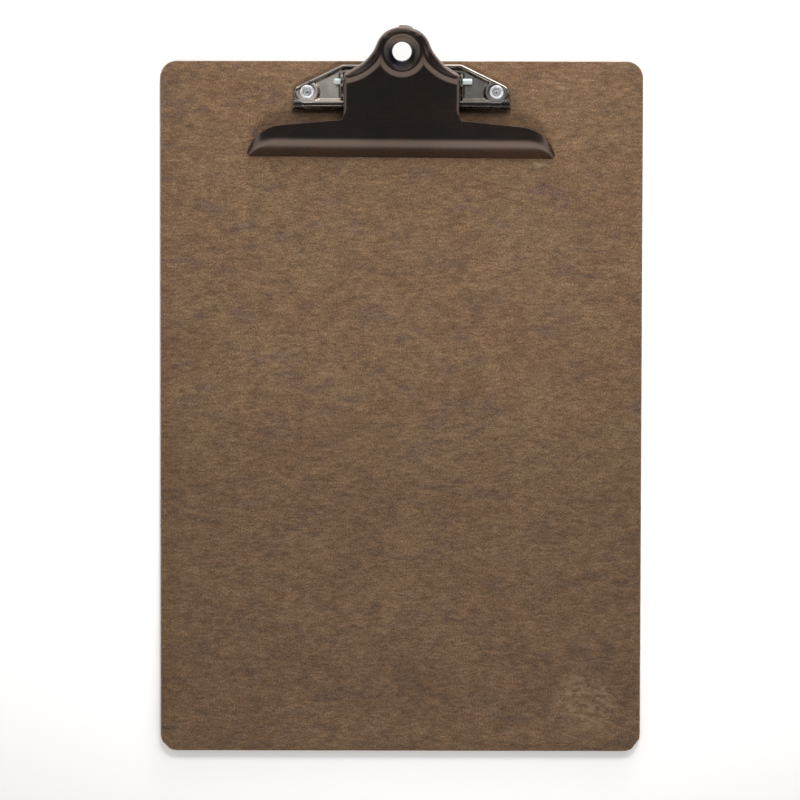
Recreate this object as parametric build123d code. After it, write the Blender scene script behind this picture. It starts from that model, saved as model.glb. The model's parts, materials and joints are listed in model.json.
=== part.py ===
from build123d import *
import os
from math import atan, cos, radians, sin, tan

# A4 clipboard: hardboard sheet, riveted base plate and a sprung one-piece lever clip.
# Millimetres. The origin is the centre of the board's back face, +Y points to the clip
# and +Z out of the front face.

# Board
BOARD_WIDTH = 230.0
BOARD_LENGTH = 330.0
BOARD_THICKNESS = 3.0
BOARD_CORNER_RADIUS = 8.0
BOARD_EDGE_RADIUS = 0.4
BOARD_TOP = BOARD_THICKNESS

# Sheet metal of the clip
SHEET = 1.0
PIVOT_Y = 154.5
PIVOT_Z = BOARD_TOP + 9.5
PIN_RADIUS = 1.4
PIN_CLEARANCE = 0.05
PIN_LEFT_END = -32.2
PIN_RIGHT_END = 33.3

# Base plate: a raised rim round a well that lies on the board
RIM_HEIGHT = 2.6
RIM_WIDTH = 2.4
PLATE_TOP_Y = 163.2
PLATE_BOTTOM_Y = 142.0
PLATE_TOP_HALF = 28.3
PLATE_END_X = 51.6
PLATE_END_RADIUS = 5.4
PLATE_END_Y = 148.6
WELL_BOTTOM_Y = 146.4
LIP_HALF = 50.0
GROOVE_Y = 144.2
GROOVE_HALF = 47.0
GROOVE_WIDTH = 0.9
GROOVE_DEPTH = 0.4
RIVET_X = 45.0
RIVET_Y = 150.0
BOSS_RADIUS = 6.0
EAR_INNER_X = 27.8
EAR_TOP_RADIUS = 3.3
EAR_FOOT_Y = (147.2, 159.4)
WINDOW_INNER_X = 15.0
EAR_BEND_RADIUS = 0.7

# Rivets
RIVET_SHANK_RADIUS = 2.0
RIVET_HOLE_RADIUS = 2.1
RIVET_HEAD_RADIUS = 4.4
RIVET_HEAD_THICKNESS = 0.9
RIVET_HEAD_SUNK = 0.1
RIVET_CURL_RADIUS = 3.1
RIVET_CURL_HEIGHT = 1.1
RIVET_BORE_RADIUS = 1.3

# Lever, in its own plane: x across, v along the panel from the pin to the handle, w off it
PANEL_TILT = 12.0
PANEL_W = 4.9
RIDGE_RISE = 1.3
RIDGE_FLANK = 2.6
RIDGE_W = PANEL_W + RIDGE_RISE
BODY_HALF = 27.5
BODY_ROOT_V = -24.0
BODY_CORNER_RADIUS = 2.5
EDGE_ROLL = 2.2
HANDLE_V = 13.75
HANDLE_RADIUS = 12.45
NECK_ANGLE = 20.0
SHOULDER_ANGLE = 30.0
NECK_RADIUS = 19.0
SHOULDER_RIDGE_RADIUS = 25.0
RING_RADIUS = 12.4
HOLE_V = 14.6
HOLE_RADIUS = 4.7
COLLAR_TOP_DEPTH = 2.3
COLLAR_LENGTH = 2.0
DISH_RADIUS = 9.2
NIB_X = 1.4
NIB_WIDTH = 7.6
NIB_REACH = 0.9
NIB_THICKNESS = 1.2
FLANGE_W = PANEL_W - 3.2
HANDLE_FLANGE_W = RIDGE_W - 3.5
LOBE_RADIUS = 3.9
FLANGE_START_V = -18.7

# Jaw, in the row's own directions
JAW_GAP = 0.1
JAW_EDGE_Y = 119.2
JAW_WALL_ANGLE = 57.0
JAW_BEND_RADIUS = 6.0
JAW_HALF = 73.3
JAW_END_SHOULDER = 68.5
JAW_END_SLOPE = 30.0
WING_ROOT_Y = 135.7
WING_ARC_START = (56.0, 132.8)
WING_ARC_MIDDLE = (66.1, 128.5)
WING_ARC_END = (73.2, 120.0)
WING_TIP_CHAMFER = 0.6

# Torsion spring
WIRE_RADIUS = 0.8
COIL_RADIUS = 2.7
COIL_PITCH = 1.65
COIL_TURNS_WHOLE = 14
BASE_LEG_ANGLE = -39.0
BASE_LEG_LENGTH = 8.8
LEVER_LEG_ANGLE = PANEL_TILT + 2.5
LEVER_LEG_LENGTH = 8.0

CUT = 80.0

tilt = radians(PANEL_TILT)
LEVER = Plane(origin=(0, PIVOT_Y, PIVOT_Z), x_dir=(1, 0, 0), z_dir=(0, -sin(tilt), cos(tilt)))
LEVER_SIDE = Plane(origin=(0, PIVOT_Y, PIVOT_Z), x_dir=(0, cos(tilt), sin(tilt)), z_dir=(1, 0, 0))


def closed(*points):
    """A face from straight-sided points."""
    return make_face(Polyline(*points, close=True))


def upright(face, low, high):
    """A prism on a plan face, from height low to height high."""
    return extrude(Pos(0, 0, low) * face, amount=high - low, dir=(0, 0, 1))


def both_sides(make):
    """The right-hand shape with its mirror image."""
    return make + mirror(make, about=Plane.YZ)


# ---------------------------------------------------------------- board and rivets


def board():
    """Hardboard sheet with eased edges, two rivet holes and shallow seats for their heads."""
    sheet = upright(RectangleRounded(BOARD_WIDTH, BOARD_LENGTH, BOARD_CORNER_RADIUS), 0, BOARD_TOP)
    rims = sheet.faces().sort_by(Axis.Z)[0].edges() + sheet.faces().sort_by(Axis.Z)[-1].edges()
    sheet = fillet(rims, BOARD_EDGE_RADIUS)
    seat_depth = RIVET_HEAD_SUNK + RIVET_HEAD_THICKNESS
    for side in (-1, 1):
        centre = Pos(side * RIVET_X, RIVET_Y)
        sheet -= upright(centre * Circle(RIVET_HOLE_RADIUS), -1, BOARD_TOP + 1)
        sheet -= upright(centre * Circle(RIVET_HEAD_RADIUS + 0.1), -1, seat_depth)
    return sheet


def rivet(side):
    """Semi-tubular rivet: a flat head sunk in the back, and an end curled over the plate."""
    under = RIVET_HEAD_SUNK
    neck = under + RIVET_HEAD_THICKNESS
    seat = BOARD_TOP + RIM_HEIGHT
    crown = seat + RIVET_CURL_HEIGHT
    crest = (RIVET_CURL_RADIUS + RIVET_SHANK_RADIUS) / 2
    outline = Polyline(
        (0, under),
        (RIVET_HEAD_RADIUS, under),
        (RIVET_HEAD_RADIUS, neck),
        (RIVET_SHANK_RADIUS, neck),
        (RIVET_SHANK_RADIUS, seat),
        (RIVET_CURL_RADIUS, seat),
    )
    curl = ThreePointArc((RIVET_CURL_RADIUS, seat), (crest, crown), (RIVET_SHANK_RADIUS, seat + 0.5))
    bore = Polyline(
        (RIVET_SHANK_RADIUS, seat + 0.5),
        (RIVET_BORE_RADIUS, seat - 0.4),
        (RIVET_BORE_RADIUS, seat - 2.2),
        (0, seat - 2.6),
        (0, under),
    )
    half = Plane.XZ * make_face(outline + curl + bore)
    return Pos(side * RIVET_X, RIVET_Y, 0) * revolve(half, axis=Axis.Z)


# ---------------------------------------------------------------- base plate


def plate_outline():
    """Plan of the base plate: straight top and bottom, sloping shoulders, round rivet ends."""
    end_x = PLATE_END_X - PLATE_END_RADIUS
    top = Line((-PLATE_TOP_HALF, PLATE_TOP_Y), (PLATE_TOP_HALF, PLATE_TOP_Y))
    bottom = Line((-PLATE_END_X, PLATE_BOTTOM_Y), (PLATE_END_X, PLATE_BOTTOM_Y))
    ends = [Pos(s * end_x, PLATE_END_Y) * Circle(PLATE_END_RADIUS) for s in (-1, 1)]
    edges = top.edges() + bottom.edges() + ends[0].edges() + ends[1].edges()
    return Sketch() + make_hull(edges)


def plate_well(outline, grow):
    """Plan of the low floor inside the rim, cut back round the raised rivet bosses."""
    floor = offset(outline, grow - RIM_WIDTH, kind=Kind.INTERSECTION)
    band = Rectangle(2 * RIVET_X, 30, align=(Align.CENTER, Align.MIN))
    well = floor & (Pos(0, WELL_BOTTOM_Y - grow) * band)
    for side in (-1, 1):
        well -= Pos(side * RIVET_X, RIVET_Y) * Circle(BOSS_RADIUS - grow)
    return Sketch() + well.faces().sort_by(SortBy.AREA)[-1]


def ear():
    """Right-hand ear, bent up from the floor: a tapering plate with a round top at the pin."""
    foot = Line((EAR_FOOT_Y[0], BOARD_TOP), (EAR_FOOT_Y[1], BOARD_TOP))
    head = Pos(PIVOT_Y, PIVOT_Z) * Circle(EAR_TOP_RADIUS)
    side_view = Sketch() + make_hull(foot.edges() + head.edges())
    blade = Pos(EAR_INNER_X, 0, 0) * extrude(Plane.YZ * side_view, amount=SHEET)
    return blade + bend(EAR_INNER_X + SHEET, BOARD_TOP + SHEET)


def bend(x, z):
    """The hollow curve where the floor turns up into the outer face of an ear."""
    radius = EAR_BEND_RADIUS
    corner = (Align.MIN, Align.MIN)
    section = Rectangle(radius, radius, align=corner) - Pos(radius, radius) * Circle(radius)
    length = EAR_FOOT_Y[1] - EAR_FOOT_Y[0]
    return Pos(x, EAR_FOOT_Y[1], z) * extrude(Plane.XZ * section, amount=length)


def base_plate():
    """Pressed plate: turned-down rim, open lip at the paper side, low floor and two ears."""
    outline = plate_outline()
    well = plate_well(outline, 0)
    top = BOARD_TOP + RIM_HEIGHT
    plate = upright(outline, BOARD_TOP, top)
    rim_edges = plate.faces().sort_by(Axis.Z)[-1].edges()
    rim_edges = rim_edges.filter_by(lambda e: e.position_at(0.5).Y > PLATE_BOTTOM_Y + 0.1)
    plate = fillet(rim_edges, 0.9)
    plate -= upright(well, BOARD_TOP + SHEET, top + 1)

    # The rim is hollow underneath and open towards the paper.
    lip = Pos(0, PLATE_BOTTOM_Y) * Rectangle(2 * LIP_HALF, 8)
    hollow = offset(outline, -SHEET, kind=Kind.INTERSECTION) + lip
    hollow -= plate_well(outline, SHEET)
    plate -= upright(hollow, BOARD_TOP - 1, top - SHEET)

    groove = SlotOverall(2 * GROOVE_HALF, GROOVE_WIDTH)
    plate -= upright(Pos(0, GROOVE_Y) * groove, top - GROOVE_DEPTH, top + 1)

    # Each ear comes out of a window in the floor.
    window_size = (EAR_INNER_X - WINDOW_INNER_X, EAR_FOOT_Y[1] - EAR_FOOT_Y[0])
    window = Rectangle(*window_size, align=(Align.MIN, Align.MIN))
    window = Pos(WINDOW_INNER_X, EAR_FOOT_Y[0]) * window
    plate -= both_sides(upright(window, BOARD_TOP - 1, BOARD_TOP + SHEET + 0.5))
    plate += both_sides(ear())

    for side in (-1, 1):
        plate -= upright(Pos(side * RIVET_X, RIVET_Y) * Circle(RIVET_HOLE_RADIUS), 0, top + 1)
    return plate - pin_bore(PIN_RADIUS, EAR_INNER_X + 4)


def pin_bore(radius, half_length):
    """A round bar along the pivot axis, for cutting the pin's holes."""
    bar = Plane.YZ * (Pos(PIVOT_Y, PIVOT_Z) * Circle(radius))
    return extrude(bar, amount=half_length, both=True)


def hinge_pin():
    """Plain pin: domed at the left end, square at the right."""
    bar = Plane.YZ * (Pos(PIVOT_Y, PIVOT_Z) * Circle(PIN_RADIUS))
    pin = Pos(PIN_LEFT_END, 0, 0) * extrude(bar, amount=PIN_RIGHT_END - PIN_LEFT_END)
    left_end = pin.edges().sort_by(Axis.X)[:1]
    pin = fillet(left_end, 0.9)
    right_end = pin.edges().sort_by(Axis.X)[-1:]
    return chamfer(right_end, 0.15)


# ---------------------------------------------------------------- lever


def lever_outline(inset):
    """Body, shoulders, neck and round handle on the lever's own plane, inset by a distance."""
    side = BODY_HALF - inset
    neck, slope = radians(NECK_ANGLE), radians(SHOULDER_ANGLE)
    centre_reach = HANDLE_RADIUS + NECK_RADIUS
    centre = (centre_reach * cos(neck), HANDLE_V + centre_reach * sin(neck))
    radius = NECK_RADIUS + inset
    handle = CenterArc((0, HANDLE_V), HANDLE_RADIUS - inset, NECK_ANGLE, 180 - 2 * NECK_ANGLE)
    sweep_angle = 90 - SHOULDER_ANGLE - NECK_ANGLE
    right_neck = CenterArc(centre, radius, 180 + NECK_ANGLE, sweep_angle)
    left_neck = CenterArc((-centre[0], centre[1]), radius, 270 + SHOULDER_ANGLE, sweep_angle)
    shoulder = (centre[0] - radius * sin(slope), centre[1] - radius * cos(slope))
    corner_v = shoulder[1] - (side - shoulder[0]) * tan(slope)
    right_side = Polyline(shoulder, (side, corner_v), (side, BODY_ROOT_V))
    root = Line((side, BODY_ROOT_V), (-side, BODY_ROOT_V))
    left_side = Polyline((-side, BODY_ROOT_V), (-side, corner_v), (-shoulder[0], shoulder[1]))
    face = make_face(handle + right_neck + right_side + root + left_side + left_neck)
    corners = face.vertices().filter_by(
        lambda p: abs(abs(p.X) - side) < 0.01 and p.Y > BODY_ROOT_V + 1
    )
    return fillet(corners, BODY_CORNER_RADIUS - inset)


def under_panel(rise):
    """Everything under the jaw wall and the panel, seen from the side, with the sheet raised
    off its outer surface by rise (negative for the inside surface)."""
    wall = radians(JAW_WALL_ANGLE)
    jaw_z = BOARD_TOP + JAW_GAP
    low = -5.0
    far_y = PIVOT_Y + 40
    inward = max(-rise, 0)
    wall_y = JAW_EDGE_Y + inward / sin(wall)
    panel_z = PIVOT_Z + (PANEL_W + rise) / cos(tilt)
    corner_y = (panel_z - jaw_z + wall_y * tan(wall) - PIVOT_Y * tan(tilt)) / (tan(wall) - tan(tilt))
    corner_z = jaw_z + (corner_y - wall_y) * tan(wall)
    face = closed(
        (wall_y - (jaw_z - low) / tan(wall), low),
        (corner_y, corner_z),
        (far_y, panel_z + (far_y - PIVOT_Y) * tan(tilt)),
        (far_y, low),
    )
    corner = face.vertices().sort_by_distance(Vector(corner_y, corner_z, 0))[:1]
    return extrude(Plane.YZ * fillet(corner, JAW_BEND_RADIUS - inward), amount=CUT, both=True)


def rolled(inset, rise, roll):
    """A block with the lever's outline whose top edges are rolled down, top at the given rise."""
    prism = extrude(LEVER * lever_outline(inset), amount=30, both=True)
    block = prism & under_panel(rise)

    def on_rim(edge):
        local = LEVER.to_local_coords(edge.position_at(0.5))
        return abs(local.Z - PANEL_W - rise) < 0.01 and local.Y > BODY_ROOT_V + 0.1

    return fillet(block.edges().filter_by(on_rim), roll)


def ridge_zone(base_w, shrink):
    """The raised ridge: three flat cones on the panel, along both shoulders and round the ring."""
    slope = RIDGE_FLANK / RIDGE_RISE
    below, above = 1.5, RIDGE_RISE + 1.5
    neck = radians(NECK_ANGLE)
    reach = HANDLE_RADIUS + NECK_RADIUS
    shoulder_at = (reach * cos(neck), HANDLE_V + reach * sin(neck))
    spots = [
        (-shoulder_at[0], shoulder_at[1], SHOULDER_RIDGE_RADIUS),
        (shoulder_at[0], shoulder_at[1], SHOULDER_RIDGE_RADIUS),
        (0, HOLE_V, RING_RADIUS),
    ]
    zone = Part()
    for x, v, radius in spots:
        foot, head = radius - shrink + below * slope, radius - shrink - above * slope
        cone = Cone(foot, head, below + above, align=(Align.CENTER, Align.CENTER, Align.MIN))
        zone += LEVER * (Pos(x, v, base_w - below) * cone)
    return zone


def wing_plan():
    """Plan of the jaw with its wings, seen square to the board."""
    (start_x, start_y), (mid_x, mid_y), (end_x, end_y) = WING_ARC_START, WING_ARC_MIDDLE, WING_ARC_END
    tip_x = end_x - WING_TIP_CHAMFER
    right_top = Line((BODY_HALF, WING_ROOT_Y), (start_x, start_y))
    right_end = ThreePointArc((start_x, start_y), (mid_x, mid_y), (end_x, end_y))
    front = Polyline((end_x, end_y), (tip_x, JAW_EDGE_Y), (-tip_x, JAW_EDGE_Y), (-end_x, end_y))
    left_end = ThreePointArc((-end_x, end_y), (-mid_x, mid_y), (-start_x, start_y))
    left_top = Line((-start_x, start_y), (-BODY_HALF, WING_ROOT_Y))
    root = Line((-BODY_HALF, WING_ROOT_Y), (BODY_HALF, WING_ROOT_Y))
    return make_face(right_top + right_end + front + left_end + left_top + root)


def wing_ends(inward):
    """Everything between the sloping ends of the jaw, seen from the front."""
    wall, slope = radians(JAW_WALL_ANGLE), radians(JAW_END_SLOPE)
    foot = JAW_HALF - inward / sin(wall)
    foot_z = BOARD_TOP + JAW_GAP
    shoulder_z = foot_z + (JAW_HALF - JAW_END_SHOULDER) * tan(wall)
    shift = inward * tan((wall - slope) / 2)
    shoulder = (
        JAW_END_SHOULDER - inward * sin(wall) + shift * cos(wall),
        shoulder_z - inward * cos(wall) - shift * sin(wall),
    )
    crown_x = 56.0
    crown_z = shoulder[1] + (shoulder[0] - crown_x) * tan(slope)
    drop = 10.0
    low = foot_z - drop
    low_x = foot + drop / tan(wall)
    face = closed(
        (-low_x, low),
        (low_x, low),
        shoulder,
        (crown_x, crown_z),
        (crown_x, 45),
        (-crown_x, 45),
        (-crown_x, crown_z),
        (-shoulder[0], shoulder[1]),
    )
    return Pos(0, PIVOT_Y, 0) * extrude(Plane.XZ * face, amount=CUT, both=True)


def flange_limit():
    """What is kept, seen from the side: the whole jaw, shallow flanges and the pin's lobes."""
    kept = closed(
        (-60, -25),
        (FLANGE_START_V - 7, -25),
        (FLANGE_START_V, FLANGE_W),
        (-8, FLANGE_W),
        (7, HANDLE_FLANGE_W),
        (32, HANDLE_FLANGE_W),
        (32, 20),
        (-60, 20),
    )
    band = Line((-8, FLANGE_W), (7, HANDLE_FLANGE_W))
    lobe = make_hull(band.edges() + Circle(LOBE_RADIUS).edges())
    return extrude(LEVER_SIDE * (Sketch() + kept + lobe), amount=CUT, both=True)


def hanging_dish():
    """The dished sheet round the hanging hole, ending in a short drawn collar."""
    depth = COLLAR_TOP_DEPTH
    section = closed(
        (DISH_RADIUS, 0),
        (DISH_RADIUS - 0.8, -0.2),
        (HOLE_RADIUS + 0.7, -depth + 0.6),
        (HOLE_RADIUS, -depth),
        (HOLE_RADIUS, -depth - COLLAR_LENGTH),
        (HOLE_RADIUS + SHEET, -depth - COLLAR_LENGTH),
        (HOLE_RADIUS + SHEET, -depth - 0.5),
        (DISH_RADIUS - 0.9, -SHEET - 0.3),
        (DISH_RADIUS, -SHEET),
    )
    centre = LEVER.from_local_coords((0, HOLE_V, RIDGE_W))
    side = Plane(origin=centre, x_dir=LEVER.x_dir, z_dir=-LEVER.y_dir)
    return revolve(side * section, axis=Axis(centre, LEVER.z_dir))


def nib():
    """Small tab left on the rolled edge at the top of the handle."""
    reach = HANDLE_V + HANDLE_RADIUS + NIB_REACH
    plan = RectangleRounded(NIB_WIDTH, 2.4, 0.5, align=(Align.CENTER, Align.MAX))
    return extrude(LEVER * (Pos(NIB_X, reach, HANDLE_FLANGE_W) * plan), amount=NIB_THICKNESS)


def jaw_lever():
    """One pressed sheet: jaw with wings, body with side flanges, ridged shoulders and handle."""
    jaw_z = BOARD_TOP + JAW_GAP
    wings = upright(wing_plan(), jaw_z, 40) & under_panel(0) & wing_ends(0)
    outside = wings + rolled(0, 0, EDGE_ROLL)
    outside += rolled(0, RIDGE_RISE, EDGE_ROLL) & ridge_zone(PANEL_W, 0)

    # The inside surface lies one sheet thickness within the outside one.
    under_wings = Pos(0, WING_ROOT_Y + 0.3) * Rectangle(2 * CUT, 40, align=(Align.CENTER, Align.MAX))
    inside = upright(under_wings, -5, 40) & under_panel(-SHEET) & wing_ends(SHEET)
    inside += rolled(SHEET, -SHEET, EDGE_ROLL - SHEET)
    flank_shrink = SHEET * (1 / cos(atan(RIDGE_RISE / RIDGE_FLANK)) - 1) * RIDGE_FLANK / RIDGE_RISE
    raised_inside = rolled(SHEET, RIDGE_RISE - SHEET, EDGE_ROLL - SHEET)
    inside += raised_inside & ridge_zone(PANEL_W - SHEET, flank_shrink)

    lever = (outside - inside) & flange_limit()
    hole_centre = LEVER * Pos(0, HOLE_V, RIDGE_W)
    lever -= hole_centre * Cylinder(DISH_RADIUS - 0.05, 20)
    lever += hanging_dish()
    lever += nib()
    return lever - pin_bore(PIN_RADIUS + PIN_CLEARANCE, BODY_HALF + 0.2)


# ---------------------------------------------------------------- spring


def torsion_spring():
    """Close coil round the pin with one leg on the base plate and one under the lever."""
    start_angle = BASE_LEG_ANGLE - 90
    end_angle = LEVER_LEG_ANGLE + 90
    turned = 360 * COIL_TURNS_WHOLE + start_angle - end_angle
    length = COIL_PITCH * turned / 360
    start = radians(start_angle)
    coil_plane = Plane(
        origin=(-length / 2, PIVOT_Y, PIVOT_Z),
        x_dir=(0, cos(start), sin(start)),
        z_dir=(1, 0, 0),
    )
    line = coil_plane * Helix(COIL_PITCH, length, COIL_RADIUS, lefthand=True)
    first, last = line @ 0, line @ 1
    first_way, last_way = line % 0, line % 1
    coil = sweep(Plane(origin=first, z_dir=first_way) * Circle(WIRE_RADIUS), path=line, is_frenet=True)
    base_leg = extrude(Plane(origin=first, z_dir=-first_way) * Circle(WIRE_RADIUS), BASE_LEG_LENGTH)
    lever_leg = extrude(Plane(origin=last, z_dir=last_way) * Circle(WIRE_RADIUS), LEVER_LEG_LENGTH)
    return coil + base_leg + lever_leg


def main():
    os.makedirs("parts", exist_ok=True)
    nodes = {
        "board": board(),
        "base_plate": base_plate(),
        "jaw_lever": jaw_lever(),
        "hinge_pin": hinge_pin(),
        "torsion_spring": torsion_spring(),
        "rivet_left": rivet(-1),
        "rivet_right": rivet(1),
    }
    for name, shape in nodes.items():
        export_step(shape, f"parts/{name}.step")


main()
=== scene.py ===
import json
import math

import bmesh
import bpy
import numpy as np
from mathutils import Matrix, Vector
from mathutils.geometry import delaunay_2d_cdt
from mathutils.kdtree import KDTree


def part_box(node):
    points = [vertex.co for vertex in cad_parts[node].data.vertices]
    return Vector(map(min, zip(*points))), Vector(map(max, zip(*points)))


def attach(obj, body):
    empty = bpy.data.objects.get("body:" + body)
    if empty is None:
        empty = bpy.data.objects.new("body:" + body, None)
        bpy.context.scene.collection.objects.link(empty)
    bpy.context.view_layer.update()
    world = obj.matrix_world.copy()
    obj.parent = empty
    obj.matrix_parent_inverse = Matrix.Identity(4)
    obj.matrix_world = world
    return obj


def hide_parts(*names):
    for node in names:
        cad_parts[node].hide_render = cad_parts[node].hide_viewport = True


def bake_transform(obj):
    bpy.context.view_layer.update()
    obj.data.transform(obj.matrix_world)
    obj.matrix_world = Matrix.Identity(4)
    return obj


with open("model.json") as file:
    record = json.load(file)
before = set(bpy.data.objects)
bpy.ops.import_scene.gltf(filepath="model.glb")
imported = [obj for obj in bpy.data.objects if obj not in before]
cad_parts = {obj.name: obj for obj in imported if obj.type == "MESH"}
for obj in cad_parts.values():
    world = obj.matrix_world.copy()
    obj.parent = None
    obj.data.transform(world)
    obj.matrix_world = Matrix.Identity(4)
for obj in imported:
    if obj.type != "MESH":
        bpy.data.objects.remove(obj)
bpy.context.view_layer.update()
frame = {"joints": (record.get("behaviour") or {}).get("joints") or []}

# An A4 clipboard: a hardboard sheet, a nickel-plated base plate on two tubular rivets, and a
# bronze-lacquered lever on a pin with a torsion spring. The pieces are made in millimetres in
# the frame's own axes, and turned into metres as their meshes are written.

MM = 0.001


def box_mm(node):
    """The lowest and highest corner of a CAD node, in millimetres."""
    low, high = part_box(node)
    return np.array(low) / MM, np.array(high) / MM


_, board_high = box_mm("board")
plate_low, plate_high = box_mm("base_plate")
lever_low, _ = box_mm("jaw_lever")
pin_low, pin_high = box_mm("hinge_pin")
rivet_low, rivet_high = box_mm("rivet_right")
pin_radius = (pin_high[2] - pin_low[2]) / 2
PIVOT_Y, PIVOT_Z = (value / MM for value in frame["joints"][0]["pos_m"][1:])
BOARD_TOP = board_high[2]

# ---------------------------------------------------------------- camera and lamps

PICTURE_SPAN = 0.3824
CAMERA_DISTANCE = 1.3
CAMERA_TILT = math.radians(2.1)
CAMERA_ROLL = math.radians(0.12)
CAMERA_TARGET = Vector((-0.0006, 0.0036, BOARD_TOP * MM))
SENSOR_WIDTH = 36.0


def new_object(name, data):
    made = bpy.data.objects.new(name, data)
    bpy.context.scene.collection.objects.link(made)
    return made


def make_camera():
    camera = new_object("camera", bpy.data.cameras.new("camera"))
    camera.data.sensor_width = SENSOR_WIDTH
    camera.data.lens = SENSOR_WIDTH * CAMERA_DISTANCE / PICTURE_SPAN
    camera.data.clip_start = 0.05
    camera.data.clip_end = 50
    away = Vector((0, math.sin(CAMERA_TILT), math.cos(CAMERA_TILT)))
    camera.location = CAMERA_TARGET + away * CAMERA_DISTANCE
    camera.rotation_euler = (-CAMERA_TILT, 0, CAMERA_ROLL)
    bpy.context.scene.camera = camera


def add_light(name, place, target, size, power, spread=180):
    """A rectangular soft box at a place in metres, facing the target, its spread in degrees."""
    light = bpy.data.lights.new(name, "AREA")
    light.shape = "RECTANGLE"
    light.size, light.size_y = size
    light.energy = power
    light.spread = math.radians(spread)
    lamp = new_object(name, light)
    lamp.location = place
    lamp.rotation_euler = (Vector(target) - Vector(place)).to_track_quat("-Z", "Y").to_euler()
    lamp.visible_glossy = False


make_camera()

# ---------------------------------------------------------------- node helpers


class Value:
    """A number, colour or vector in a shader tree, for writing sums with."""

    def __init__(self, tree, socket):
        self.tree = tree
        self.socket = socket

    def other(self, output):
        """Another output of the node that this value comes from."""
        return Value(self.tree, self.socket.node.outputs[output])

    def math(self, operation, *others):
        inputs = dict(enumerate((self, *others)))
        return add_node(self.tree, "ShaderNodeMath", inputs, operation=operation)

    def __add__(self, other):
        return self.math("ADD", other)

    def __sub__(self, other):
        return self.math("SUBTRACT", other)

    def __mul__(self, other):
        return self.math("MULTIPLY", other)

    def __truediv__(self, other):
        return self.math("DIVIDE", other)

    def __abs__(self):
        return self.math("ABSOLUTE")

    def most(self, other):
        return self.math("MAXIMUM", other)

    def remap(self, low, high, to_low=0.0, to_high=1.0):
        """The value taken smoothly from one range to another, and held at its ends."""
        names = ("Value", "From Min", "From Max", "To Min", "To Max")
        inputs = dict(zip(names, (self, low, high, to_low, to_high)))
        return add_node(self.tree, "ShaderNodeMapRange", inputs, interpolation_type="SMOOTHSTEP")

    def within(self, low, high, soft):
        """1 where the value lies between two limits, with soft ends."""
        return self.remap(low - soft, low + soft) * self.remap(high - soft, high + soft, 1.0, 0.0)

    def scaled(self, amount):
        """The colour with each channel multiplied by a number."""
        inputs = {0: self, "Scale": amount}
        return add_node(self.tree, "ShaderNodeVectorMath", inputs, operation="SCALE")


def put(tree, socket, value):
    """Links a Value to a socket, or sets the socket to a plain value."""
    if isinstance(value, Value):
        tree.links.new(value.socket, socket)
    else:
        socket.default_value = value


def add_node(tree, kind, inputs=None, output=0, **settings):
    """An output of a new shader node, with values or links on the node's inputs."""
    made = tree.nodes.new(kind)
    for key, value in settings.items():
        setattr(made, key, value)
    for key, value in (inputs or {}).items():
        put(tree, made.inputs[key], value)
    return Value(tree, made.outputs[output])


def new_material(name):
    material = bpy.data.materials.new(name)
    material.use_nodes = True
    return material, material.node_tree


def finish(tree, colour, roughness, normal, constants):
    """Joins a finish's parts to its shader, and sets the shader's constants."""
    shader = tree.nodes["Principled BSDF"]
    values = {"Base Color": colour, "Roughness": roughness, "Normal": normal, **constants}
    for key, value in values.items():
        put(tree, shader.inputs[key], value)


def object_point(tree, stretch=(1, 1, 1), turn=0.0):
    """The point on the piece in its own metres, stretched, and turned about Z."""
    source = add_node(tree, "ShaderNodeTexCoord", output="Object")
    inputs = {"Vector": source, "Scale": stretch, "Rotation": (0, 0, turn)}
    return add_node(tree, "ShaderNodeMapping", inputs)


def axes(tree, vector):
    """The X, Y and Z of a vector."""
    split = add_node(tree, "ShaderNodeSeparateXYZ", {0: vector})
    return [split.other(axis) for axis in "XYZ"]


def place_mm(tree):
    """The X, Y and Z of the point on the piece, in millimetres."""
    return axes(tree, object_point(tree, (1 / MM, 1 / MM, 1 / MM)))


def noise(tree, scale, detail=3.0, roughness=0.55, distortion=0.0, **point):
    inputs = {
        "Vector": object_point(tree, **point),
        "Scale": scale,
        "Detail": detail,
        "Roughness": roughness,
        "Distortion": distortion,
    }
    return add_node(tree, "ShaderNodeTexNoise", inputs, "Fac")


def length(across, along):
    return (across * across + along * along).math("SQRT")


def mix_value(tree, factor, first, second):
    return add_node(tree, "ShaderNodeMix", {0: factor, 2: first, 3: second})


def mix(tree, factor, first, second, blend="MIX"):
    """One colour mixed or added into another."""
    inputs = {0: factor, 6: first, 7: second}
    return add_node(tree, "ShaderNodeMix", inputs, 2, data_type="RGBA", blend_type=blend)


def bump(tree, height, distance, strength, under=None):
    inputs = {"Height": height, "Distance": distance, "Strength": strength}
    if under is not None:
        inputs["Normal"] = under
    return add_node(tree, "ShaderNodeBump", inputs)


# ---------------------------------------------------------------- floor and light

FLOOR_HALF = 3.0
FLOOR_GAP = 0.0001


def make_floor():
    mesh = bpy.data.meshes.new("studio_floor")
    signs = ((-1, -1), (1, -1), (1, 1), (-1, 1))
    corners = [(x * FLOOR_HALF, y * FLOOR_HALF, -FLOOR_GAP) for x, y in signs]
    mesh.from_pydata(corners, [], [(0, 1, 2, 3)])
    material, tree = new_material("studio_floor")
    shader = tree.nodes["Principled BSDF"]
    shader.inputs["Base Color"].default_value = (0.96, 0.96, 0.96, 1)
    shader.inputs["Roughness"].default_value = 0.8
    mesh.materials.append(material)
    floor = new_object("studio_floor", mesh)


def glow(tree, direction, towards, near, far):
    """1 within the angle near of a direction, falling to 0 at the angle far, in degrees."""
    inputs = {0: direction, 1: Vector(towards).normalized()}
    beside = add_node(tree, "ShaderNodeVectorMath", inputs, "Value", operation="DOT_PRODUCT")
    return beside.remap(math.cos(math.radians(far)), math.cos(math.radians(near)))


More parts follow.
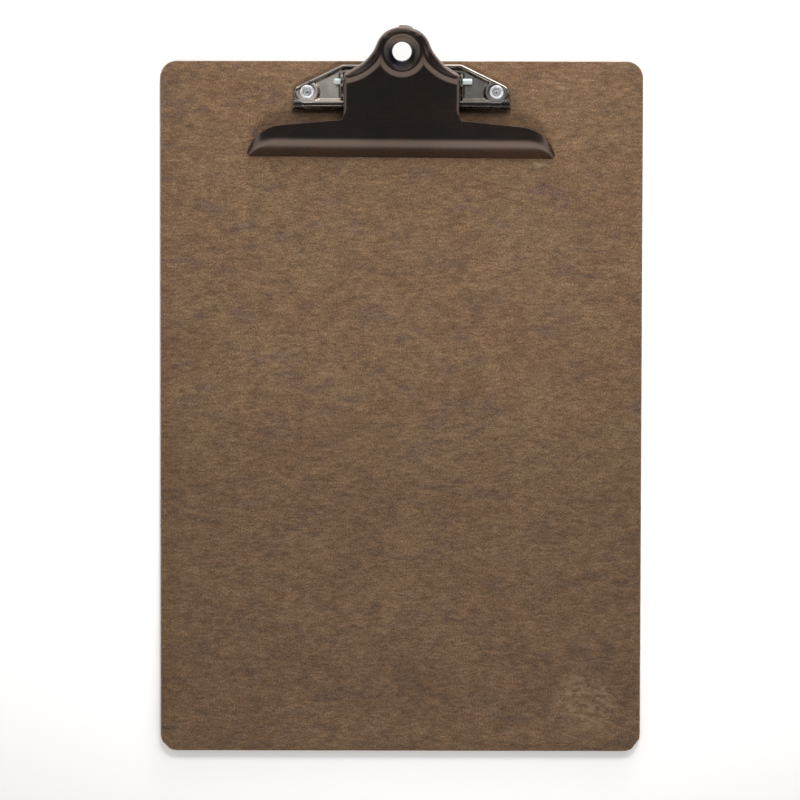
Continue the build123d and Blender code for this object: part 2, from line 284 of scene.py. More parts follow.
def make_world():
    """A studio: bright low walls, a dark ceiling, and soft reflectors behind the object."""
    world = bpy.data.worlds.new("studio")
    bpy.context.scene.world = world
    world.use_nodes = True
    tree = world.node_tree
    direction = add_node(tree, "ShaderNodeTexCoord", output="Generated")
    x, y, z = axes(tree, direction)
    wall = mix(tree, abs(x).remap(0.5, 0.95), (1.12, 1.05, 0.99, 1), (0.8, 0.78, 0.76, 1))
    wall = wall.scaled(z.remap(-0.02, 0.16, 0.45, 1.0))
    darkness = (z + y * 0.25).remap(0.30, 0.78)
    colour = mix(tree, darkness, wall, (0.097, 0.097, 0.098, 1))
    for towards, near, far, shade in (
        ((-0.10, 0.50, 0.86), 6, 36, (0.55, 0.54, 0.56, 1)),
        ((-0.55, 0.75, 0.37), 4, 18, (1.6, 1.5, 1.35, 1)),
        ((0.50, 0.78, 0.38), 4, 18, (3.2, 3.0, 3.0, 1)),
        ((0.15, 0.96, 0.22), 12, 34, (0.7, 0.68, 0.66, 1)),
    ):
        colour = mix(tree, glow(tree, direction, towards, near, far), colour, shade, "ADD")
    background = tree.nodes["Background"]
    put(tree, background.inputs["Color"], colour)
    background.inputs["Strength"].default_value = 1.0


def make_lights():
    """Soft boxes behind and in front of the object, which the metal itself doesn't mirror."""
    add_light("back_key", (0.14, 0.80, 0.68), (0, 0.10, 0), (0.40, 0.26), 6.4)
    add_light("low_key", (0.20, 0.95, 0.17), (0, 0.10, 0), (0.50, 0.15), 5.0)
    add_light("front_key", (0.06, -0.50, 0.85), (0, 0.52, 0), (0.35, 0.25), 1.65, 68)


make_floor()
make_world()
make_lights()
bpy.context.scene.view_settings.view_transform = "Standard"

# ---------------------------------------------------------------- curves and meshes

SHARP_ANGLE = math.radians(40)
EDGE_ROUNDING = 0.12


def smooth(t):
    t = np.clip(t, 0, 1)
    return t * t * (3 - 2 * t)


def soft_min(a, b, k):
    """The smaller of two values, with the change between them rounded over k."""
    h = np.clip(0.5 + 0.5 * (b - a) / k, 0, 1)
    return b + (a - b) * h - k * h * (1 - h)


def soft_max(a, b, k):
    return -soft_min(-a, -b, k)


def arc(centre, radius, start, end, count=40):
    """Points round an arc, angles in degrees."""
    angles = np.radians(np.linspace(start, end, count))
    return np.stack([centre[0] + radius * np.cos(angles), centre[1] + radius * np.sin(angles)], 1)


def circle(centre, radius, count=48):
    return arc(centre, radius, 0, 360, count + 1)[:-1]


def arc_through(first, middle, last, count=40):
    """Points round the arc through three points."""
    (ax, ay), (bx, by), (cx, cy) = first, middle, last
    d = 2 * (ax * (by - cy) + bx * (cy - ay) + cx * (ay - by))
    a, b, c = ax * ax + ay * ay, bx * bx + by * by, cx * cx + cy * cy
    centre = (
        (a * (by - cy) + b * (cy - ay) + c * (ay - by)) / d,
        (a * (cx - bx) + b * (ax - cx) + c * (bx - ax)) / d,
    )
    radius = math.dist(first, centre)
    start = math.degrees(math.atan2(ay - centre[1], ax - centre[0]))
    end = math.degrees(math.atan2(cy - centre[1], cx - centre[0]))
    if end < start:
        end += 360
    return arc(centre, radius, start, end, count)


def corner_round(before, corner, after, radius, count=12):
    """Points round a filleted corner between two straight runs."""
    corner = np.array(corner, float)
    back = np.array(before, float) - corner
    on = np.array(after, float) - corner
    back /= np.linalg.norm(back)
    on /= np.linalg.norm(on)
    half = math.acos(float(back @ on)) / 2
    middle = back + on
    centre = corner + middle / np.linalg.norm(middle) * radius / math.sin(half)
    start, end = corner + back * radius / math.tan(half), corner + on * radius / math.tan(half)
    angles = [math.atan2(*(point - centre)[::-1]) for point in (start, end)]
    turn = (angles[1] - angles[0] + math.pi) % (2 * math.pi) - math.pi
    steps = angles[0] + turn * np.linspace(0, 1, count)
    return centre + radius * np.stack([np.cos(steps), np.sin(steps)], 1)


def spaced(points, step):
    """Points at an even spacing along a line of points, its ends kept."""
    points = np.asarray(points, float)
    lengths = np.linalg.norm(np.diff(points, axis=0), axis=1)
    along = np.concatenate([[0], np.cumsum(lengths)])
    count = max(2, int(round(along[-1] / step)) + 1)
    places = np.linspace(0, along[-1], count)
    return np.stack([np.interp(places, along, points[:, i]) for i in range(points.shape[1])], 1)


def joined(*runs):
    """Runs of points end to end, with the repeated points between them left out."""
    points = [runs[0]]
    for run in runs[1:]:
        same = np.linalg.norm(run[0] - points[-1][-1]) < 1e-6
        points.append(run[1:] if same else run)
    return np.concatenate(points)


def outward(loop):
    """Unit normals to the right of a counterclockwise closed loop's direction."""
    along = np.roll(loop, -1, 0) - np.roll(loop, 1, 0)
    normal = np.stack([along[:, 1], -along[:, 0]], 1)
    return normal / np.linalg.norm(normal, axis=1)[:, None]


def is_inside(points, loop):
    """Which points lie inside a closed loop."""
    x, y = points[:, 0], points[:, 1]
    found = np.zeros(len(points), bool)
    for (ax, ay), (bx, by) in zip(loop, np.roll(loop, -1, 0)):
        if ay == by:
            continue
        crosses = ((ay > y) != (by > y)) & (x < (bx - ax) * (y - ay) / (by - ay) + ax)
        found ^= crosses
    return found


def nearest_distance(points, others):
    tree = KDTree(len(others))
    for i, other in enumerate(others):
        tree.insert((other[0], other[1], 0), i)
    tree.balance()
    return np.array([tree.find((p[0], p[1], 0))[2] for p in points])


def thinned(points, cell):
    """At most one point in each cell of a square grid."""
    keys = np.round(np.asarray(points) / cell).astype(int)
    first = np.unique(keys, axis=0, return_index=True)[1]
    return np.asarray(points)[np.sort(first)]


def hex_grid(low, high, step):
    rows = np.arange(low[1], high[1], step * math.sqrt(3) / 2)
    points = []
    for i, y in enumerate(rows):
        xs = np.arange(low[0] + (i % 2) * step / 2, high[0], step)
        points.append(np.stack([xs, np.full(len(xs), y)], 1))
    return np.concatenate(points)


def fill(loops, guides, step, guide_gap):
    """Triangles between an outer loop and holes, with points on the guide lines and a grid
    of the given step elsewhere. The loops' own points come first, in order."""
    rim = np.concatenate(loops)

    def fits(points, taken, gap):
        keep = is_inside(points, loops[0])
        for hole in loops[1:]:
            keep &= ~is_inside(points, hole)
        points = points[keep]
        return points[nearest_distance(points, taken) > gap]

    taken = rim
    if len(guides):
        taken = np.concatenate([taken, fits(thinned(guides, guide_gap), rim, guide_gap)])
    grid = hex_grid(rim.min(0), rim.max(0), step)
    points = np.concatenate([taken, fits(grid, taken, step * 0.62)])
    edges, start = [], 0
    for loop in loops:
        count = len(loop)
        edges += [(start + i, start + (i + 1) % count) for i in range(count)]
        start += count
    flat = [Vector(p) for p in points]
    made = delaunay_2d_cdt(flat, edges, [], 1, 1e-7)
    if len(made[0]) != len(points):
        raise ValueError("the outline's points touch")
    triangles = np.array([f for f in made[2]])
    middles = points[triangles].mean(1)
    keep = np.ones(len(triangles), bool)
    for hole in loops[1:]:
        keep &= ~is_inside(middles, hole)
    return points, [tuple(t) for t in triangles[keep]]


def strip(first_ring, rings, base, keep=None):
    """Quads from one ring of point numbers through more rings of new points, numbered from
    base. keep says which steps round the ring are made."""
    count = len(first_ring)
    steps = [i for i in range(count) if keep is None or keep[i]]
    numbers = [first_ring]
    numbers += [range(base + i * count, base + (i + 1) * count) for i in range(len(rings))]
    faces = []
    for inner, outer in zip(numbers[:-1], numbers[1:]):
        for i in steps:
            j = (i + 1) % count
            faces.append((inner[i], outer[i], outer[j], inner[j]))
    return faces


def rolled(inset, normal, radius, angles):
    """Rings round an edge rolled over outside a loop: their points, and how far each drops."""
    for angle in np.radians(angles):
        ring = inset + normal * (radius * math.sin(angle))[:, None]
        yield ring, radius * (1 - math.cos(angle))


def new_bmesh(points, faces):
    mesh = bmesh.new()
    verts = [mesh.verts.new(p) for p in points]
    for face in faces:
        mesh.faces.new([verts[i] for i in face])
    return mesh


def tidy_bmesh(points, faces):
    """A bmesh from points and faces, doubles merged and faces without area dropped."""
    mesh = new_bmesh(points, faces)
    bmesh.ops.remove_doubles(mesh, verts=mesh.verts, dist=0.002)
    bmesh.ops.dissolve_degenerate(mesh, edges=mesh.edges, dist=0.002)
    loose = [v for v in mesh.verts if not v.link_faces]
    bmesh.ops.delete(mesh, geom=loose, context="VERTS")
    mesh.normal_update()
    return mesh


def thicken(mesh, thickness, floor=None, rounding=EDGE_ROUNDING):
    """Makes an open sheet solid, its thickness behind the face it has and its cut edge rounded."""
    front = list(mesh.verts)
    faces = list(mesh.faces)
    rims = [e for e in mesh.edges if len(e.link_faces) == 1]
    out = {}
    for edge in rims:
        loop = edge.link_loops[0]
        a, b = loop.vert, loop.link_loop_next.vert
        side = (b.co - a.co).cross(a.normal + b.normal).normalized()
        for vert in (a, b):
            out[vert] = out.get(vert, Vector()) + side

    def placed(place):
        """A new vertex, no lower than the floor."""
        if floor is not None:
            place.z = max(place.z, floor)
        return mesh.verts.new(place)

    back = {vert: placed(vert.co - vert.normal * thickness) for vert in front}
    chains = {}
    for vert, side in out.items():
        side = side.normalized() * rounding
        down = vert.normal
        chain = [vert]
        for reach, drop in ((0.5, 0.13), (0.87, 0.5), (1.0, 1.0)):
            chain.append(placed(vert.co + side * reach - down * drop * rounding))
        low = thickness - rounding
        chain.append(placed(vert.co + side - down * low))
        chain.append(placed(vert.co + side * 0.6 - down * (thickness - 0.2 * rounding)))
        chain.append(back[vert])
        chains[vert] = chain
    for edge in rims:
        loop = edge.link_loops[0]
        a, b = loop.vert, loop.link_loop_next.vert
        for i in range(len(chains[a]) - 1):
            mesh.faces.new((chains[b][i], chains[a][i], chains[a][i + 1], chains[b][i + 1]))
    for face in faces:
        mesh.faces.new([back[v] for v in reversed(face.verts)])
    mesh.normal_update()


def make_piece(name, mesh, materials, body, nodes):
    """Writes a bmesh in millimetres as a piece in metres, riding on a body if one is given."""
    data = bpy.data.meshes.new(name)
    bmesh.ops.scale(mesh, vec=(MM, MM, MM), verts=mesh.verts)
    mesh.to_mesh(data)
    mesh.free()
    data.shade_smooth()
    data.set_sharp_from_angle(angle=SHARP_ANGLE)
    for material in materials:
        data.materials.append(material)
    piece = new_object(name, data)
    if body:
        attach(piece, body)
    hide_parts(*nodes)
    return piece


def bore_across(piece, y, z, radius, half_length):
    """Drills a round hole along X through a piece."""
    mesh = bmesh.new()
    turn = Matrix.Translation((0, y * MM, z * MM)) @ Matrix.Rotation(math.pi / 2, 4, "Y")
    size = {"radius1": radius * MM, "radius2": radius * MM, "depth": 2 * half_length * MM}
    bmesh.ops.create_cone(mesh, cap_ends=True, segments=64, matrix=turn, **size)
    data = bpy.data.meshes.new("drill")
    mesh.to_mesh(data)
    mesh.free()
    drill = new_object("drill", data)
    cut = piece.modifiers.new("bore", "BOOLEAN")
    cut.operation = "DIFFERENCE"
    cut.object = drill
    cut.solver = "MANIFOLD"
    graph = bpy.context.evaluated_depsgraph_get()
    bored = bpy.data.meshes.new_from_object(piece.evaluated_get(graph))
    piece.modifiers.clear()
    piece.data = bored
    bpy.data.objects.remove(drill)
    piece.data.set_sharp_from_angle(angle=SHARP_ANGLE)


# ---------------------------------------------------------------- lever

SHEET = 1.0
LEVER_ROUNDING = 0.2
TILT = math.radians(12)
PANEL_W = 4.9
RIDGE_RISE = 1.3
RIDGE_FLANK = 2.6
SHOULDER_FALL = 0.42
BODY_HALF = 27.5
BODY_CORNER = 2.5
EDGE_ROLL = 2.2
ROOT_ROUND = 1.6
HANDLE_V = 13.75
HANDLE_RADIUS = 12.45
NECK_ANGLE = 20
SHOULDER_ANGLE = 30
NECK_RADIUS = 19.0
SHOULDER_RIDGE = 25.0
RING_RADIUS = 11.8
HOLE_V = 14.6
HOLE_RADIUS = 4.5
DISH_RADIUS = 9.2
DISH_DEPTH = 2.3
COLLAR_LENGTH = 1.9
BODY_FLANGE_W = 1.7
HANDLE_FLANGE_W = 2.7
LOBE_RADIUS = 3.9
PIN_PLAY = 0.22
FLARE_RIGHT = 1.4
FLARE_LEFT = 0.35
NIB_X = 1.4
NIB_HALF = 3.8
NIB_SLOPE = 1.4
NIB_REACH = 0.9
HOLE_STEPS = 96
HOLE_LIP = 0.35
LEVER_YAW = math.radians(-0.4)
JAW_WALL = math.tan(math.radians(55.5))
JAW_END = math.tan(math.radians(30))
JAW_HALF = 73.3
JAW_SHOULDER = 68.5
JAW_BEND = 4.2
END_BEND = 1.6
CORNER_BEND = 3.2
JAW_EDGE_Y = lever_low[1]
JAW_Z = lever_low[2]
WING_ROOT_Y = 135.7
WING_ARC = ((73.4, 120.7), (67.2, 129.4), (57.2, 133.3))
WING_TIP_X = 71.7
RIM_STEP = 0.5

neck = math.radians(NECK_ANGLE)
neck_reach = HANDLE_RADIUS + NECK_RADIUS
NECK_CENTRE = (neck_reach * math.cos(neck), HANDLE_V + neck_reach * math.sin(neck))
RIDGES = [
    ((-NECK_CENTRE[0], NECK_CENTRE[1]), SHOULDER_RIDGE),
    (NECK_CENTRE, SHOULDER_RIDGE),
    ((0, HOLE_V), RING_RADIUS),
]


def jaw_z(x, y):
    """Height of the sheet's top face over the board plane: panel, front wall and sloping ends."""
    panel = PIVOT_Z + PANEL_W / math.cos(TILT) + (y - PIVOT_Y) * math.tan(TILT)
    front = JAW_Z + (y - JAW_EDGE_Y) * JAW_WALL
    end = JAW_Z + (JAW_HALF - np.abs(x)) * JAW_WALL
    shoulder = JAW_Z + (JAW_HALF - JAW_SHOULDER) * JAW_WALL
    slope = shoulder + (JAW_SHOULDER - np.abs(x)) * JAW_END
    top = soft_min(panel, front, JAW_BEND)
    side = soft_min(end, slope, END_BEND)
    rounding = np.clip((np.minimum(top, side) - JAW_Z) * 0.5, 0.05, CORNER_BEND)
    return soft_min(top, side, rounding)


def ridge_rise(x, v):
    """How far the pressed ridge stands off the panel, falling away past its crest."""
    climb = [(r - np.hypot(x - cx, v - cv)) / RIDGE_FLANK for (cx, cv), r in RIDGES]
    past = RIDGE_FLANK * soft_max(np.maximum(climb[0], climb[1]) - 1, 0 * x, 0.3)
    past = past * smooth((np.hypot(x, v - HOLE_V) - DISH_RADIUS - 0.6) / 3.0)
    climb = soft_max(soft_max(climb[0], climb[1], 0.05), climb[2], 0.16)
    rise = RIDGE_RISE * soft_min(soft_max(climb, 0 * climb, 0.22), 1 + 0 * climb, 0.3)
    return rise - SHOULDER_FALL * past


def dish_drop(reach):
    """How far the dish round the hanging hole lies under the ridge's top."""
    share = np.clip((DISH_RADIUS - reach) / (DISH_RADIUS - HOLE_RADIUS), 0, 1)
    return DISH_DEPTH * (0.62 * smooth(share / 0.75) + 0.38 * share**3)


def lever_yz(v, w):
    """The frame's Y and Z of a place on the lever's own plane and a height off it."""
    y = PIVOT_Y + v * math.cos(TILT) - w * math.sin(TILT)
    return y, PIVOT_Z + v * math.sin(TILT) + w * math.cos(TILT)


def sheet_w(x, v):
    """Height of the sheet's outside face off the lever's own plane, without the dish."""
    w = np.full(len(x), PANEL_W)
    for _ in range(14):
        y, z = lever_yz(v, w)
        w = w + 0.78 * (jaw_z(x, y) - z)
    return w + ridge_rise(x, v)


def lever_point(points, w):
    """From points on the lever's own plane and heights off it to the frame's axes."""
    return np.column_stack([points[:, 0], *lever_yz(points[:, 1], w)])


def from_plan(points):
    """Points of the jaw's plan, brought onto the lever's own plane."""
    x, y = points[:, 0], points[:, 1]
    z = jaw_z(x, y)
    v = (y - PIVOT_Y) * math.cos(TILT) + (z - PIVOT_Z) * math.sin(TILT)
    return np.stack([x, v], 1)


def mirrored_loop(half):
    """A closed counterclockwise loop from its right half, which runs from front to back."""
    left = half[::-1] * (-1, 1)
    return np.concatenate([half, left[1:-1]])


def lever_loop():
    """The lever's outline on its own plane, and how much of the rolled flange each point has."""
    front = [(0, JAW_EDGE_Y), (WING_TIP_X, JAW_EDGE_Y)]
    tip = [front[1], WING_ARC[0]]
    wing = arc_through(*WING_ARC)
    wing_line = [WING_ARC[2], (BODY_HALF + 3 * ROOT_ROUND, WING_ROOT_Y)]
    plan_runs = [spaced(run, RIM_STEP) for run in (front, tip, wing, wing_line)]
    plan_runs = [from_plan(run) for run in plan_runs]
    root = from_plan(np.array([(BODY_HALF, WING_ROOT_Y + 0.25)]))[0]
    slope = math.radians(SHOULDER_ANGLE)
    reach = (NECK_RADIUS * math.sin(slope), NECK_RADIUS * math.cos(slope))
    shoulder = (NECK_CENTRE[0] - reach[0], NECK_CENTRE[1] - reach[1])
    corner = (BODY_HALF, shoulder[1] - (BODY_HALF - shoulder[0]) * math.tan(slope))
    last = plan_runs[-1][-1]
    inner = corner_round(last, root, corner, ROOT_ROUND)
    outer = corner_round(root, corner, shoulder, BODY_CORNER)
    turn = 90 - SHOULDER_ANGLE - NECK_ANGLE
    neck_arc = arc(NECK_CENTRE, NECK_RADIUS, 270 - SHOULDER_ANGLE, 270 - SHOULDER_ANGLE - turn)
    handle = arc((0, HANDLE_V), HANDLE_RADIUS, NECK_ANGLE, 90)
    upper = joined(np.array([last]), inner, outer, neck_arc, handle)
    half = joined(*plan_runs, spaced(upper, RIM_STEP))
    loop = mirrored_loop(half)

    # The handle's flange flares more on the right than on the left.
    flare = FLARE_RIGHT * smooth(loop[:, 0] / 8) - FLARE_LEFT * smooth(-loop[:, 0] / 8)
    loop[:, 0] += flare * smooth((loop[:, 1] - 5) / 7)
    flanged = smooth((loop[:, 1] - root[1] - ROOT_ROUND * 0.6) / 4.0)
    flanged[np.abs(loop[:, 0]) > BODY_HALF + 0.01] = 0
    flanged[loop[:, 1] < root[1]] = 0
    return loop, flanged


def flange_foot(x, v):
    """Height of the flange's lower edge, with the lobe that carries the pin."""
    body, handle = (-8.0, BODY_FLANGE_W), (7.0, HANDLE_FLANGE_W)
    ends = []
    for (pv, pw), side in ((body, 1), (handle, -1)):
        reach = math.hypot(pv, pw)
        ends.append(math.degrees(math.atan2(pw, pv) + side * math.acos(LOBE_RADIUS / reach)))
    lobe = arc((0, 0), LOBE_RADIUS, ends[0], ends[1] + 360 if ends[1] < ends[0] else ends[1])
    line = np.concatenate([[(-40, BODY_FLANGE_W), body], lobe, [handle, (40, HANDLE_FLANGE_W)]])
    beside = np.interp(v, line[:, 0], line[:, 1])
    plain = np.interp(v, [body[0], handle[0]], [body[1], handle[1]])
    return np.where(np.abs(x) > BODY_HALF - 0.3, beside, plain)


def lever_guides():
    """Guide lines for the mesh: along the ridge's flanks, round the dish and along the bend."""
    guides = []
    for (cx, cv), radius in RIDGES:
        for inward in np.arange(-0.7, RIDGE_FLANK + 0.9, 0.3):
            guides.append(spaced(arc((cx, cv), radius - inward, 0, 360, 720), 0.5))
    for radius in np.arange(DISH_RADIUS - 0.3, DISH_RADIUS + 0.5, 0.25):
        guides.append(spaced(arc((0, HOLE_V), radius, 0, 360, 360), 0.5))
    for y in np.arange(JAW_EDGE_Y + 0.5, 129.0, 0.45):
        row = spaced([(-JAW_HALF, y), (JAW_HALF, y)], 0.8)
        guides.append(from_plan(row))
    return np.concatenate(guides)


def make_lever(material):
    loop, flanged = lever_loop()
    normal = outward(loop)
    roll = EDGE_ROLL * flanged
    inset = loop - normal * roll[:, None]

    def hole_ring(radius):
        return circle((0, HOLE_V), radius, HOLE_STEPS)

    dish_start = DISH_RADIUS - 0.5
    points, faces = fill([inset, hole_ring(dish_start)], lever_guides(), 0.95, 0.3)
    w = sheet_w(points[:, 0], points[:, 1])
    w -= dish_drop(np.hypot(points[:, 0], points[:, 1] - HOLE_V))
    verts = [lever_point(points, w)]

    # The rolled edge and the flange hanging from it.
    count = len(loop)
    edge_w = w[:count]
    keep = (flanged > 0) | (np.roll(flanged, -1) > 0)
    rings = []
    for ring, drop in rolled(inset, normal, roll, range(12, 91, 13)):
        rings.append(lever_point(ring, edge_w - drop))
    rolled_w = edge_w - roll
    foot = flange_foot(loop[:, 0], loop[:, 1])
    at_top = loop[:, 1] > HANDLE_V
    from_nib = np.abs(loop[:, 0] - NIB_X) - NIB_HALF
    bulge = np.where(at_top, 1 - smooth((from_nib + NIB_SLOPE) / NIB_SLOPE), 0)
    for share in np.linspace(0.2, 1, 5):
        ring = loop + normal * (NIB_REACH * bulge * smooth(share * 1.4))[:, None]
        rings.append(lever_point(ring, rolled_w - (rolled_w - foot) * share * flanged))
    base = sum(len(v) for v in verts)
    faces += strip(range(count), rings, base, keep=keep)
    verts += rings

    # The dish and the collar round the hanging hole.
    ring_w = PANEL_W + RIDGE_RISE
    rings = []
    for radius in np.linspace(dish_start, HOLE_RADIUS + HOLE_LIP, 16)[1:]:
        rings.append(lever_point(hole_ring(radius), ring_w - dish_drop(radius)))
    lip_w = ring_w - dish_drop(HOLE_RADIUS + HOLE_LIP)
    collar_foot = DISH_DEPTH + COLLAR_LENGTH - 2.0
    for out, down in ((0.16, 0.2), (0.04, 0.5), (0, 0.9), (0, 1.5), (0, collar_foot)):
        rings.append(lever_point(hole_ring(HOLE_RADIUS + out), lip_w - down))
    base = sum(len(v) for v in verts)
    first = range(count, count + HOLE_STEPS)
    # A hole's ring runs the other way round, so its quads are turned over.
    faces += [face[::-1] for face in strip(first, rings, base)]
    verts += rings

    mesh = tidy_bmesh(np.concatenate(verts), faces)
    thicken(mesh, SHEET, JAW_Z, LEVER_ROUNDING)
    pivot = Vector((0, PIVOT_Y, PIVOT_Z))
    yaw = Matrix.Rotation(LEVER_YAW, 3, "Z")
    bmesh.ops.rotate(mesh, cent=pivot, matrix=yaw, verts=mesh.verts)
    lever = make_piece("pressed_lever", mesh, [material], "lever", ["jaw_lever"])
    bore_across(lever, PIVOT_Y, PIVOT_Z, pin_radius + PIN_PLAY, BODY_HALF + 3)


# ---------------------------------------------------------------- base plate

RIM_WIDTH = 2.4
RIM_ROLL = 0.7
PLATE_TOP_Y = plate_high[1]
PLATE_BOTTOM_Y = plate_low[1]
PLATE_END_X = plate_high[0]
PLATE_TOP_HALF = 28.3
PLATE_END_RADIUS = 5.4
PLATE_END_Y = 148.6
RIM_TOP = rivet_high[2] - 1.0
FLOOR_DROP = 1.6
WELL_BOTTOM_Y = 146.9
GROOVE_Y = 144.25
GROOVE_HALF = 46.6
GROOVE_DEPTH = 0.8
RIVET_X = (rivet_low[0] + rivet_high[0]) / 2
RIVET_Y = (rivet_low[1] + rivet_high[1]) / 2
BOSS_RADIUS = 6.0
RIVET_HOLE = 2.1
EAR_X = 28.8
EAR_BEND = 0.8
EAR_FOOT_Y = (147.2, 159.4)
EAR_TOP_RADIUS = 3.3
WINDOW_X = 15.0

end_centre = (PLATE_END_X - PLATE_END_RADIUS, PLATE_END_Y)
to_corner = (PLATE_TOP_HALF - end_centre[0], PLATE_TOP_Y - end_centre[1])
tangent = math.acos(PLATE_END_RADIUS / math.hypot(*to_corner))
SLOPE_ANGLE = math.atan2(to_corner[1], to_corner[0]) - tangent


def slope_distance(x, y):
    """Distance inside the plate's sloping edges."""
    across = (np.abs(x) - end_centre[0]) * math.cos(SLOPE_ANGLE)
    return PLATE_END_RADIUS - across - (y - end_centre[1]) * math.sin(SLOPE_ANGLE)


def plate_z(x, y):
    """Height of the plate's top face: rim, low floor, rivet bosses and the paper-side groove."""
    boss = np.hypot(np.abs(x) - RIVET_X, y - RIVET_Y)
    inside = soft_min(PLATE_TOP_Y - y - RIM_WIDTH, slope_distance(x, y) - RIM_WIDTH, 0.6)
    inside = soft_min(inside, y - WELL_BOTTOM_Y, 0.5)
    inside = soft_min(inside, boss - BOSS_RADIUS, 0.5)
    z = RIM_TOP - FLOOR_DROP * smooth((inside + 1.05) / 1.25)
    crown = 0.1 * smooth((inside + 2.6) / 0.9) * smooth((-0.9 - inside) / 0.6)
    z = z + crown
    groove = np.hypot(y - GROOVE_Y, np.maximum(np.abs(x) - GROOVE_HALF, 0))
    z = z - GROOVE_DEPTH * (1 - smooth((groove - 0.2) / 0.5))
    z = z - 0.2 * (1 - smooth((boss - 4.6) / 0.7)) * smooth((y - GROOVE_Y - 0.5) / 0.6)
    lip = np.clip((GROOVE_Y - 0.6 - y) / (GROOVE_Y - 0.6 - PLATE_BOTTOM_Y), 0, 1)
    return z - 0.9 * lip


def plate_loop():
    """The plate's outline, and how far each point is turned down to the board."""
    corner = (PLATE_END_X + 0.5, PLATE_BOTTOM_Y - 0.1)
    bottom = spaced([(0, PLATE_BOTTOM_Y), corner], 0.45)
    x = bottom[:, 0]
    ragged = 0.10 * np.sin(x * 1.7) * np.sin(x * 0.61 + 1) + 0.08 * np.sin(x * 0.29)
    bottom[1:-1, 1] += np.clip(ragged[1:-1], -0.05, 0.2)
    top_corner = (PLATE_TOP_HALF, PLATE_TOP_Y)
    end_angle = math.degrees(SLOPE_ANGLE)
    end = arc(end_centre, PLATE_END_RADIUS, 0, end_angle)
    side = np.array([corner, (PLATE_END_X, PLATE_BOTTOM_Y + 1.8), end[0]])
    knee = corner_round(end[-1], top_corner, (0, PLATE_TOP_Y), 3.0)
    rest = joined(side, end, knee, np.array([knee[-1], (0, PLATE_TOP_Y)]))
    half = joined(bottom, spaced(rest, 0.45))
    loop = mirrored_loop(half)
    turned = smooth((loop[:, 1] - PLATE_BOTTOM_Y - 0.1) / 2.2)
    turned[np.abs(loop[:, 1] - PLATE_BOTTOM_Y) < 0.25] = 0
    return loop, turned


def plate_guides():
    """Guide lines for the mesh along the rim, the groove and the bosses."""
    guides = []
    for inward in np.arange(1.0, RIM_WIDTH + 0.9, 0.26):
        guides.append(spaced([(-32, PLATE_TOP_Y - inward), (32, PLATE_TOP_Y - inward)], 0.4))
        reach = PLATE_END_RADIUS - inward
        normal = np.array([math.cos(SLOPE_ANGLE), math.sin(SLOPE_ANGLE)])
        start = np.array(end_centre) + normal * reach
        line = spaced([start, start + 22 * np.array([-normal[1], normal[0]])], 0.4)
        guides += [line, line * (-1, 1)]
    for y in np.arange(PLATE_BOTTOM_Y + 0.3, WELL_BOTTOM_Y + 1.0, 0.24):
        row = spaced([(-PLATE_END_X, y), (PLATE_END_X, y)], 0.45)
        in_boss = np.hypot(np.abs(row[:, 0]) - RIVET_X, y - RIVET_Y) < BOSS_RADIUS + 0.9
        guides.append(row[~(in_boss & (y > GROOVE_Y + 0.9))])
    for radius in np.arange(3.6, BOSS_RADIUS + 0.8, 0.26):
        ring = spaced(arc((RIVET_X, RIVET_Y), radius, 0, 360, 120), 0.4)
        ring = ring[ring[:, 1] > GROOVE_Y + 0.9]
        guides += [ring, ring * (-1, 1)]
    return np.concatenate(guides)


def window_loop(side):
    """The hole in the floor that an ear is bent out of."""
    low = (WINDOW_X, EAR_FOOT_Y[0])
    high = (EAR_X + EAR_BEND, EAR_FOOT_Y[1])
    corners = [low, (high[0], low[1]), high, (low[0], high[1])]
    runs = [spaced([corners[i], corners[(i + 1) % 4]], 0.5)[:-1] for i in range(4)]
    return np.concatenate(runs) * (side, 1)


def ear_mesh(side):
    """An ear: a tapering strip bent up from the floor, round at the top, with the pin's hole."""
    floor_z = RIM_TOP - FLOOR_DROP
    quarter = EAR_BEND * math.pi / 2
    straight_z = floor_z + EAR_BEND

    def height_along(z):
        return quarter + z - straight_z

    top = height_along(PIVOT_Z)
    foot = height_along(floor_z)
    ends = []
    for y, sign in ((EAR_FOOT_Y[0], 1), (EAR_FOOT_Y[1], -1)):
        across, up = y - PIVOT_Y, foot - top
        lean = math.acos(EAR_TOP_RADIUS / math.hypot(across, up))
        ends.append(math.degrees(math.atan2(up, across) - sign * lean))
    low, high = EAR_FOOT_Y
    head = arc((PIVOT_Y, top), EAR_TOP_RADIUS, ends[1], ends[0] % 360, 40)
    outline = np.concatenate([[(low, 0), (high, 0)], head])
    outline = np.concatenate([spaced(outline, 0.4), spaced([outline[-1], (low, 0)], 0.4)[1:-1]])
    hole = circle((PIVOT_Y, top), pin_radius + 0.02)
    rows = [spaced([(low - 1, t), (high + 1, t)], 0.4) for t in np.linspace(0.1, quarter, 6)]
    points, faces = fill([outline, hole], np.concatenate(rows), 0.7, 0.12)
    along = points[:, 1]
    angle = np.clip(along / EAR_BEND, 0, math.pi / 2)
    x = EAR_X + EAR_BEND - EAR_BEND * np.sin(angle)
    z = floor_z + EAR_BEND - EAR_BEND * np.cos(angle) + np.maximum(along - quarter, 0)
    verts = np.stack([x * side, points[:, 0], z], 1)
    mesh = tidy_bmesh(verts, [face[::side] for face in faces])
    thicken(mesh, SHEET)
    return mesh


